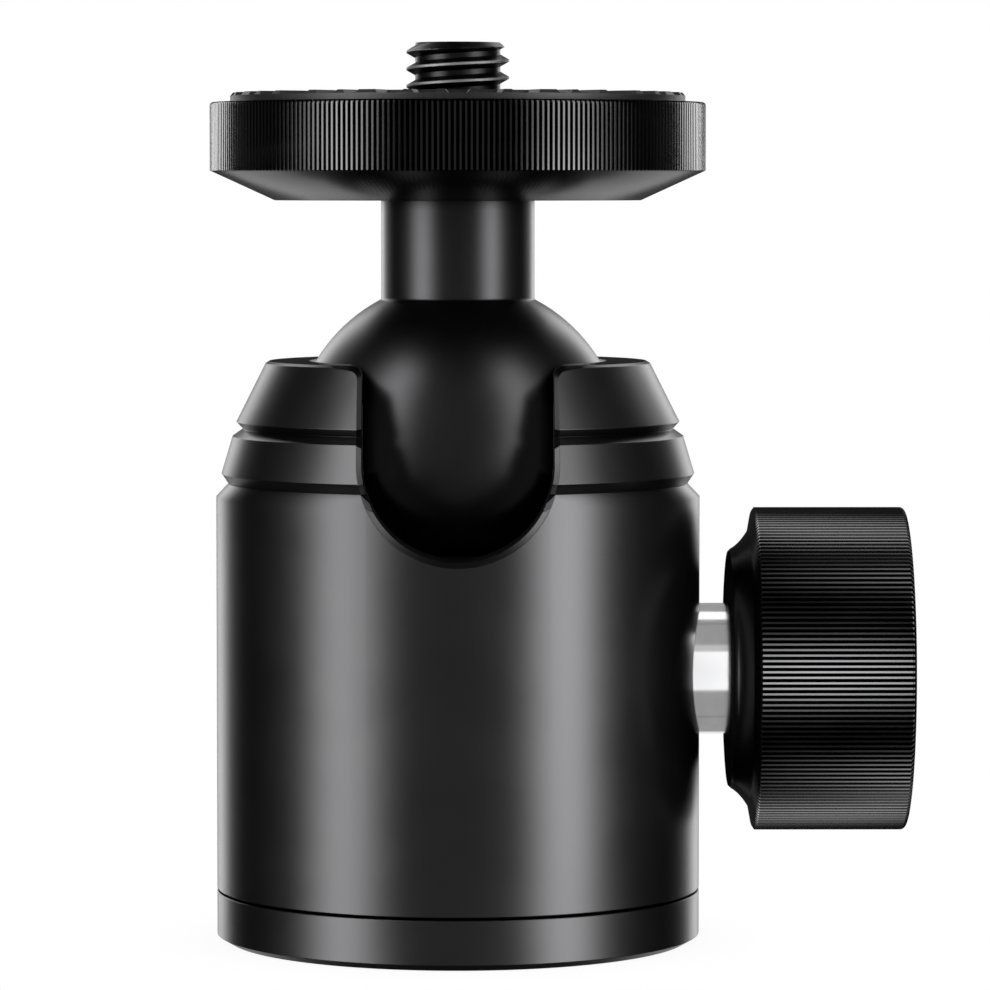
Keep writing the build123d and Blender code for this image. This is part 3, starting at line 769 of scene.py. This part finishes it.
def turned(
    name: str,
    axis: SpinAxis,
    columns: Sequence[tuple[float, Profile]],
    solid_core: bool = False,
) -> bpy.types.Object:
    """Join outlines, one for each angle, into a turned solid.

    Args:
        name: the object's name.
        axis: the axis.
        columns: (angle, profile) pairs all round, the first of them again at the end.
            A profile is an outline of (radius, place along the axis) points, as many
            in each.
        solid_core: whether the outlines are open, with a flat face at both ends,
            instead of closed round a bore.

    Returns:
        The object.
    """
    shape = bmesh.new()
    grid = [
        [shape.verts.new(axis.point(turn, radius, place)) for radius, place in profile]
        for turn, profile in columns
    ]
    length = len(grid[0])
    for here, there in zip(grid, grid[1:]):
        for index in range(length - 1 if solid_core else length):
            after = (index + 1) % length
            shape.faces.new((here[index], here[after], there[after], there[index]))
    if solid_core:
        shape.faces.new([column[0] for column in grid[:-1]])
        shape.faces.new([column[-1] for column in reversed(grid[:-1])])
    bmesh.ops.remove_doubles(shape, verts=shape.verts, dist=MERGE_DISTANCE)
    bmesh.ops.dissolve_degenerate(shape, dist=MERGE_DISTANCE, edges=shape.edges)
    return finished_mesh(name, shape)


def spaced(total: float, steps: int) -> list[float]:
    """Return evenly spaced numbers from 0 to a total, both ends included."""
    return [total * step / steps for step in range(steps + 1)]


def rounded_edge(rim: float, end: float, size: float, steps: int) -> Profile:
    """Round the edge between a rim and the flat end beyond it.

    Args:
        rim: the rim's radius.
        end: the place of the flat end along the axis.
        size: the edge's own radius.
        steps: number of stretches between points.

    Returns:
        The edge's points, from the rim inward.
    """
    return [
        (rim - size + size * math.cos(angle), end - size + size * math.sin(angle))
        for angle in map(math.radians, spaced(90.0, steps))
    ]


def cut_back(edge: Profile, limit: float) -> Profile:
    """Shorten an edge's profile so that it starts at a smaller radius.

    Args:
        edge: points whose radius falls from the first to the last.
        limit: the radius to start at.

    Returns:
        As many points, on the same line, the first of them at the limit.
    """
    place = 0.0
    for index, (first, second) in enumerate(zip(edge, edge[1:])):
        if first[0] >= limit >= second[0]:
            place = index + (first[0] - limit) / max(first[0] - second[0], LEAST_STEP)
            break
    last = len(edge) - 1
    points = []
    for step in range(len(edge)):
        spot = place + (last - place) * step / last
        index = min(int(spot), last - 1)
        share = spot - index
        ends = zip(edge[index], edge[index + 1])
        points.append(tuple(near + (far - near) * share for near, far in ends))
    return points


@dataclass(frozen=True)
class Knurl:
    """Straight ridges cut into a rim along its axis.

    Attributes:
        ridges: number of ridges all round.
        crest: half the width of a ridge's top, as a share of the pitch.
        depth: depth of the grooves.
    """

    ridges: int
    crest: float = 0.18
    depth: float = KNURL_DEPTH

    def columns(self) -> list[Point]:
        """Lay out the ridges' tops and the grooves' bottoms round the rim.

        Returns:
            (angle, depth below the ridges' tops) pairs all round, the first of them
            again at the end.
        """
        one_ridge = [
            (0.0, 0.0),
            (0.5 * self.crest, 0.0),
            (self.crest, 0.0),
            (0.5, self.depth),
            (1 - self.crest, 0.0),
            (1 - 0.5 * self.crest, 0.0),
        ]
        return [
            ((ridge + place) * math.tau / self.ridges, drop)
            for ridge in range(self.ridges)
            for place, drop in one_ridge
        ] + [(math.tau, 0.0)]

    def wrap(
        self, rim_radius: float, first_edge: Profile, last_edge: Profile, rest: Profile
    ) -> list[tuple[float, Profile]]:
        """Return the columns of a turned piece with this knurl round its rim.

        Args:
            rim_radius: the radius of the ridges' tops.
            first_edge: the rim's lower edge, from the rim inward.
            last_edge: the rim's upper edge, from the rim inward.
            rest: the remaining outline, from the upper edge round to the lower one.

        Returns:
            (angle, profile) pairs for turned().
        """
        columns = []
        for turn, drop in self.columns():
            limit = rim_radius - drop
            lower = list(reversed(cut_back(first_edge, limit)))
            upper = cut_back(last_edge, limit)
            columns.append((turn, [*lower, *upper, *rest]))
        return columns


# ---- Sub-assemblies --------------------------------------------------------------


@dataclass
class PanningBase:
    """The base that the head turns on, with its socket and the pan bearing."""

    nodes: tuple[str, ...] = (
        "base_plate",
        "base_thread_insert",
        "pan_thrust_washer",
        "pan_spring_washer",
        "pan_retaining_ring",
    )

    def build(self, paint: Paintbox) -> None:
        """Dress the base's nodes."""
        paint.dress_nodes(*self.nodes)


@dataclass
class ClampHousing:
    """The barrel with its floor, the slotted collar, and the clamp's inner works."""

    nodes: tuple[str, ...] = (
        "housing",
        "housing_floor",
        "floor_screws",
        "spindle_bush",
        "collar",
        "seat_liner",
        "collar_lock_screw",
        "wedge_block",
        "ball_cup",
    )

    def build(self, paint: Paintbox) -> None:
        """Dress the housing's nodes."""
        paint.dress_nodes(*self.nodes)


@dataclass
class CameraStud:
    """The threaded stud, with its flange, its hex socket and its shank."""

    major_radius: float = 4.7625 * MM
    root_radius: float = 3.95 * MM
    pitch: float = 1.5875 * MM
    crest_height: float = 80.2 * MM
    crest_share: float = 0.125
    flank_share: float = 0.29
    flank_steps: int = 8
    tip_inset: float = 0.8625 * MM
    tip_length: float = 0.775 * MM
    flange_radius: float = 5.9 * MM
    flange_bottom: float = 78.39 * MM
    flange_top: float = 78.79 * MM
    flange_edge: float = 0.08 * MM
    shank_radius: float = 3.0 * MM
    socket_across: float = 4.0 * MM
    socket_depth: float = 3.0 * MM
    spare_pitches: int = 2
    segments: int = 120

    def thread_radius(self, turn: float, height: float, top: float) -> float:
        """Return the thread's radius at one point of its surface.

        Args:
            turn: angle about the axis, in radians.
            height: height above the floor.
            top: height of the stud's tip.

        Returns:
            The radius there.
        """
        turns = (height - self.crest_height) / self.pitch - turn / math.tau
        away = abs(turns - round(turns))
        fall = (away - self.crest_share / 2) / self.flank_share
        radius = self.major_radius - (self.major_radius - self.root_radius) * min(max(fall, 0), 1)
        slope = self.tip_inset / self.tip_length
        return min(radius, self.major_radius - self.tip_inset + (top - height) * slope)

    def steps_of_one_pitch(self) -> list[float]:
        """Place the mesh's rows in one pitch of the thread.

        Returns:
            The rows' places, in pitches below a crest.
        """
        near = self.crest_share / 2
        flank = [near + share for share in spaced(self.flank_share, self.flank_steps)]
        return [*flank, *(1 - place for place in reversed(flank))]

    def column(self, turn: float, bottom: float, top: float) -> Profile:
        """Return the stud's outline at one angle, from its socket's floor outward.

        Args:
            turn: angle about the axis, in radians.
            bottom: height of the shank's end.
            top: height of the stud's tip.

        Returns:
            The outline.
        """
        sixth = math.tau / 6
        socket = self.socket_across / 2 / math.cos(turn % sixth - sixth / 2)
        pitches = math.ceil((top - self.flange_top) / self.pitch) + self.spare_pitches
        first = math.ceil((top - self.crest_height) / self.pitch)
        thread = []
        for index in range(pitches):
            for place in self.steps_of_one_pitch():
                turns = first - index - place + turn / math.tau
                height = self.crest_height + turns * self.pitch
                height = min(max(height, self.flange_top), top)
                thread.append((self.thread_radius(turn, height, top), height))
        edge = self.flange_edge
        return [
            (socket, top - self.socket_depth),
            (socket, top),
            *thread,
            (self.flange_radius - edge, self.flange_top),
            (self.flange_radius, self.flange_top - edge),
            (self.flange_radius, self.flange_bottom + edge),
            (self.flange_radius - edge, self.flange_bottom),
            (self.shank_radius, self.flange_bottom),
            (self.shank_radius, bottom),
        ]

    def build(self) -> bpy.types.Object:
        """Build the stud.

        Returns:
            The stud's object.
        """
        lo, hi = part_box("camera_stud")
        turns = spaced(math.tau, self.segments)
        columns = [(turn, self.column(turn, lo.z, hi.z)) for turn in turns]
        return turned("threaded_stud", PAN, columns, solid_core=True)


@dataclass
class CameraPlatform:
    """The ball with its neck, the knurled platform, the rubber pad and the stud."""

    knurl: Knurl = Knurl(ridges=290)
    cone_radius: float = 6.0 * MM
    cone_height: float = 2.75 * MM
    cone_row: float = 0.12  # where on the cone its second row of points lies
    spigot_radius: float = 4.5 * MM
    spigot_height: float = 1.5 * MM
    bore_radius: float = 3.05 * MM
    top_edge: float = 0.3 * MM
    edge_steps: int = 5
    pad_core_inner: float = 14.0 * MM
    pad_core_outer: float = 17.85 * MM
    pad_core_sunk: float = 0.34 * MM
    pad_core_drop: float = 0.012 * MM
    pad_core_segments: int = 96

    def platform(self) -> bpy.types.Object:
        """Build the platform, with its knurled rim and its coned underside.

        Returns:
            The platform's object.
        """
        lo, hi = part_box("platform")
        rim = hi.x
        underside = lo.z + self.spigot_height
        band_low = underside + self.cone_height
        lower_edge = [
            (rim, band_low),
            (rim - self.cone_row * self.cone_radius, band_low - self.cone_row * self.cone_height),
            (rim - self.cone_radius, underside),
        ]
        upper_edge = rounded_edge(rim, hi.z, self.top_edge, self.edge_steps)
        rest = [
            (self.bore_radius, hi.z),
            (self.bore_radius, lo.z),
            (self.spigot_radius, lo.z),
            (self.spigot_radius, underside),
        ]
        columns = self.knurl.wrap(rim, lower_edge, upper_edge, rest)
        return turned(PLATFORM, PAN, columns)

    def pad_core(self) -> bpy.types.Object:
        """Build the pad's raised disc, which closes the lugs' gaps towards the middle.

        Returns:
            The disc's object.
        """
        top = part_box("platform_pad")[1].z - self.pad_core_drop
        bottom = top - self.pad_core_sunk
        outline = [
            (self.pad_core_inner, bottom),
            (self.pad_core_outer, bottom),
            (self.pad_core_outer, top),
            (self.pad_core_inner, top),
        ]
        turns = spaced(math.tau, self.pad_core_segments)
        return turned("pad_core", PAN, [(turn, outline) for turn in turns])

    def build(self, paint: Paintbox) -> None:
        """Build and dress the ball's and the platform's pieces.

        Args:
            paint: the materials.
        """
        paint.dress_nodes("ball_stem")
        paint.dress_piece(self.platform(), "platform", "platform")
        paint.dress_nodes("platform_pad")
        paint.dress_extra(self.pad_core(), "pad_rubber", "platform")
        paint.dress_nodes("stud_washer")
        paint.dress_piece(CameraStud().build(), "camera_stud", "platform")


@dataclass
class ClampKnob:
    """The clamp's spindle and its knurled knob."""

    knurl: Knurl = Knurl(ridges=188)
    hub_inset: float = 3.85 * MM
    hub_edge: float = 0.25 * MM
    waist_inset: float = 2.05 * MM
    waist_length: float = 1.9 * MM
    waist_slope: float = 0.53
    waist_steps: int = 10
    cone_inset: float = 0.3 * MM
    cone_length: float = 0.32 * MM
    rim_edge: float = 0.2 * MM
    end_edge: float = 0.4 * MM
    edge_steps: int = 5
    dish_inset: float = 3.05 * MM
    dish_depth: float = 0.5 * MM
    recess_radius: float = 5.02 * MM
    recess_floor: float = 5.0 * MM
    web_thickness: float = 1.5 * MM
    screw_bore: float = 2.15 * MM
    drive_bore: float = 4.05 * MM
    journal_bore: float = 6.15 * MM
    journal_depth: float = 2.05 * MM
    nodes: tuple[str, ...] = (
        "clamp_spindle",
        "spindle_washer",
        "spindle_retaining_ring",
        "knob_screw",
        "knob_cap",
    )

    def knob(self) -> bpy.types.Object:
        """Build the knob: flat hub face, waist, knurled rim and dished end.

        Returns:
            The knob's object.
        """
        lo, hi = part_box("knob")
        rim = (hi.y - lo.y) / 2
        hub = rim - self.hub_inset
        waist_end = (rim - self.waist_inset, lo.x + self.waist_length)
        cone_end = (rim - self.cone_inset, waist_end[1] + self.cone_length)
        rim_start = cone_end[1] + self.rim_edge
        web_end = hi.x - self.recess_floor
        web_start = web_end - self.web_thickness
        journal_end = lo.x + self.journal_depth
        last_edge = rounded_edge(rim, hi.x, self.end_edge, self.edge_steps)
        rest = [
            (rim - self.dish_inset, hi.x),
            (rim - self.dish_inset, hi.x - self.dish_depth),
            (self.recess_radius, hi.x - self.dish_depth),
            (self.recess_radius, web_end),
            (self.screw_bore, web_end),
            (self.screw_bore, web_start),
            (self.drive_bore, web_start),
            (self.drive_bore, journal_end),
            (self.journal_bore, journal_end),
            (self.journal_bore, lo.x),
            (hub - self.hub_edge, lo.x),
            *self._waist((hub, lo.x + self.hub_edge), waist_end),
        ]
        columns = self.knurl.wrap(rim, [(rim, rim_start), cone_end], last_edge, rest)
        spindle = SpinAxis(Z_AXIS * (lo.z + hi.z) / 2, Y_AXIS, Z_AXIS, X_AXIS)
        return turned(KNOB, spindle, columns)

    def _waist(self, start: Point, end: Point) -> Profile:
        """Return the hollow curve from the hub's edge up to the rim's cone.

        Args:
            start: the curve's first point, where it leaves at the waist's first slope.
            end: the curve's last point.

        Returns:
            The curve's points, both ends included.
        """
        run, rise = end[1] - start[1], end[0] - start[0]
        first = self.waist_slope * run / rise
        return [
            (start[0] + rise * (first * share + (1 - first) * share**2), start[1] + run * share)
            for share in spaced(1.0, self.waist_steps)
        ]

    def build(self, paint: Paintbox) -> None:
        """Build the knob and dress the spindle's nodes."""
        paint.dress_piece(self.knob(), "knob", "knob")
        paint.dress_nodes(*self.nodes)


# ---- Studio ----------------------------------------------------------------------

POWER_OF_RADIANCE = 4  # a soft light's power, for each unit of area and radiance
SPINDLE = "clamp_spindle"
BALL = "ball_stem"
SPINDLE_AIM = (0.03, 0.0, 0.025)
KNOB_AIM = (0.18, 0.0, 0.025)


class Fade(Enum):
    """The edges that a soft light fades out towards."""

    NONE = "none"
    SIDES = "sides"
    ALL_ROUND = "all round"


@dataclass(frozen=True)
class SoftLight:
    """A rectangular soft light.

    Attributes:
        name: the light's name.
        azimuth: direction from the head, in degrees; 0 is the camera's side.
        distance: distance from the panning axis.
        level: height of the light's middle above the floor.
        width: the light's width.
        height: the light's height.
        radiance: how bright its face is, at its brightest.
        aim: the point that it faces; None for a light that stands upright and faces
            the panning axis.
        fade: which edges it fades out towards.
        receivers: names of the only objects that it lights; empty for all.
        spared: names of the only objects that it doesn't light.
    """

    name: str
    azimuth: float
    distance: float
    level: float
    width: float
    height: float
    radiance: float
    aim: tuple[float, float, float] | None = None
    fade: Fade = Fade.NONE
    receivers: tuple[str, ...] = ()
    spared: tuple[str, ...] = ()

    def build(self) -> None:
        """Make the light."""
        data = bpy.data.lights.new(self.name, "AREA")
        data.shape = "RECTANGLE"
        data.size = self.width
        data.size_y = self.height
        data.energy = POWER_OF_RADIANCE * self.width * self.height * self.radiance
        if self.fade is not Fade.NONE:
            self._fade(data)
        made = bpy.data.objects.new(self.name, data)
        turn = math.radians(self.azimuth)
        made.location = (
            self.distance * math.sin(turn),
            -self.distance * math.cos(turn),
            self.level,
        )
        aim = Vector(self.aim) if self.aim else Vector((0.0, 0.0, self.level))
        made.rotation_mode = "QUATERNION"
        made.rotation_quaternion = (aim - made.location).to_track_quat("-Z", "Y")
        made.visible_camera = False
        bpy.context.scene.collection.objects.link(made)
        if self.receivers or self.spared:
            self._restrict(made)

    def _fade(self, data: bpy.types.AreaLight) -> None:
        """Let the light fall off from its middle to its edges.

        Args:
            data: the light's data.
        """
        data.use_nodes = True
        bench = NodeBench(data.node_tree)
        face = bench.node("ShaderNodeNewGeometry").outputs["Parametric"]
        split = bench.node("ShaderNodeSeparateXYZ", inputs={0: face})
        across, up, _ = (Signal(bench, out) for out in split.outputs)
        strength = (across * math.pi).sine() ** 2
        if self.fade is Fade.ALL_ROUND:
            strength = strength * (up * math.pi).sine() ** 2
        glow = bench.node("ShaderNodeEmission", inputs={"Strength": strength})
        bench.node("ShaderNodeOutputLight", inputs={"Surface": glow.outputs[0]})

    def _restrict(self, made: bpy.types.Object) -> None:
        """Let the light fall on its receivers alone, or on all but the spared objects.

        Args:
            made: the light's object.
        """
        group = bpy.data.collections.new(f"{self.name}_receivers")
        for name in self.receivers or self.spared:
            group.objects.link(bpy.data.objects[name])
        if self.spared:
            for item in group.collection_objects:
                item.light_linking.link_state = "EXCLUDE"
        made.light_linking.receiver_collection = group


@dataclass
class Studio:
    """The pale floor, the soft lights and the camera."""

    camera_distance: float = 488.3 * MM
    camera_height: float = 70.2 * MM
    camera_pitch: float = 3.372
    camera_yaw: float = 0.405
    camera_clip: float = 10 * MM
    lens: float = 190.9
    sensor: float = 36.0
    floor_radius: float = 40.0
    floor_segments: int = 64
    floor_shade: float = 0.06
    floor_shade_reach: float = 8 * MM
    floor_shade_samples: int = 16
    room_grey: float = 0.025
    # Each light's name, azimuth, distance, level, width, height and radiance come first.
    lights: tuple[SoftLight, ...] = (
        SoftLight("left_panel", -55, 0.5, 0.25, 0.45, 1.0, 7.0, fade=Fade.SIDES),
        SoftLight("right_panel", 51, 0.5, 0.25, 0.45, 1.0, 5.2, fade=Fade.SIDES),
        SoftLight("right_low_panel", 51, 0.5, 0.0, 0.45, 0.26, 6.0, fade=Fade.ALL_ROUND),
        SoftLight("front_fill", 0, 0.45, 0.1, 0.3, 0.8, 0.2),
        SoftLight("left_rim_panel", -152, 0.7, 0.38, 0.24, 1.0, 1.8, spared=(KNOB, PLATFORM)),
        SoftLight("right_rim_panel", 152, 0.7, 0.38, 0.24, 1.0, 1.9, spared=(KNOB, PLATFORM)),
        SoftLight("right_collar_rim", 134, 0.7, 0.5, 0.2, 0.5, 1.1, receivers=("collar",)),
        SoftLight("left_ball_rim", -146, 0.7, 0.3, 0.6, 0.6, 0.5, receivers=(BALL,)),
        SoftLight("right_ball_rim", 146, 0.7, 0.3, 0.6, 0.6, 0.45, receivers=(BALL,)),
        SoftLight("back_floor", 180, 0.8, -0.33, 1.25, 0.36, 0.45, spared=(KNOB,)),
        SoftLight("left_platform_rim", -145, 0.7, 0.2, 0.36, 0.3, 3.8, receivers=(PLATFORM,)),
        SoftLight("right_platform_rim", 138, 0.7, 0.2, 0.36, 0.3, 4.4, receivers=(PLATFORM,)),
        SoftLight("spindle_card", 7, 0.45, 0.03, 0.022, 0.6, 0.92, receivers=(SPINDLE,)),
        SoftLight("spindle_front_fill", 0, 0.03, 0.02, 3.0, 6.0, 0.27, receivers=(SPINDLE,)),
        SoftLight("spindle_back_fill", 180, 0.03, 0.02, 3.0, 6.0, 0.27, receivers=(SPINDLE,)),
        SoftLight(
            "spindle_top_panel", 180, 0.185, 0.5, 0.3, 0.2, 0.8, SPINDLE_AIM, receivers=(SPINDLE,)
        ),
        SoftLight("knob_card", 12, 0.45, 0.03, 0.3, 0.54, 9.5, None, Fade.ALL_ROUND, (KNOB,)),
        SoftLight(
            "knob_top_panel", 51, 0.231, 0.5, 0.3, 0.3, 3.5, KNOB_AIM, Fade.ALL_ROUND, (KNOB,)
        ),
        SoftLight(
            "knob_low_panel", 65, 0.199, -0.45, 0.3, 0.52, 5.6, KNOB_AIM, Fade.ALL_ROUND, (KNOB,)
        ),
    )

    def build(self) -> None:
        """Set up the world, the floor, the lights and the camera."""
        self._world()
        self._floor()
        for light in self.lights:
            light.build()
        self._camera()
        bpy.context.scene.view_settings.view_transform = "Standard"

    def _world(self) -> None:
        """Surround the head with a dim room in front of a white background."""
        world = bpy.data.worlds.new("studio")
        world.use_nodes = True
        bench = NodeBench(world.node_tree)
        seen = Signal(bench, bench.node("ShaderNodeLightPath").outputs["Is Camera Ray"])
        strength = self.room_grey + seen * (1 - self.room_grey)
        white = opaque((1.0, 1.0, 1.0))
        background = bench.node(
            "ShaderNodeBackground", inputs={"Color": white, "Strength": strength}
        )
        bench.node("ShaderNodeOutputWorld", inputs={"Surface": background.outputs[0]})
        bpy.context.scene.world = world

    def _floor(self) -> None:
        """Lay a white floor, seen from above alone, that darkens a little under the base."""
        shape = bmesh.new()
        bmesh.ops.create_circle(
            shape, cap_ends=True, radius=self.floor_radius, segments=self.floor_segments
        )
        floor = finished_mesh("studio_floor", shape)
        material = bpy.data.materials.new("studio_floor")
        material.use_nodes = True
        bench = NodeBench(material.node_tree)
        openness = bench.openness(self.floor_shade_reach, self.floor_shade_samples)
        strength = 1.0 - self.floor_shade * (1.0 - openness)
        glow = bench.node("ShaderNodeEmission", inputs={"Strength": strength})
        clear = bench.node("ShaderNodeBsdfTransparent")
        from_below = bench.node("ShaderNodeNewGeometry").outputs["Backfacing"]
        surface = bench.node(
            "ShaderNodeMixShader", inputs={0: from_below, 1: glow.outputs[0], 2: clear.outputs[0]}
        )
        bench.node("ShaderNodeOutputMaterial", inputs={"Surface": surface.outputs[0]})
        floor.data.materials.append(material)
        floor.visible_diffuse = False
        floor.visible_glossy = False
        floor.visible_shadow = False

    def _camera(self) -> None:
        """Place the camera in front of the head, level with its platform."""
        data = bpy.data.cameras.new("camera")
        data.sensor_width = self.sensor
        data.lens = self.lens
        data.clip_start = self.camera_clip
        camera = bpy.data.objects.new("camera", data)
        camera.location = (0.0, -self.camera_distance, self.camera_height)
        camera.rotation_euler = (
            math.radians(90 - self.camera_pitch),
            0.0,
            math.radians(-self.camera_yaw),
        )
        bpy.context.scene.collection.objects.link(camera)
        bpy.context.scene.camera = camera


def main() -> None:
    """Build the head, from the base up, and the studio round it."""
    paint = Paintbox()
    for assembly in (PanningBase(), ClampHousing(), CameraPlatform(), ClampKnob()):
        assembly.build(paint)
        log.info("finished %s", type(assembly).__name__)
    Studio().build()


if __name__ == "__main__":
    main()
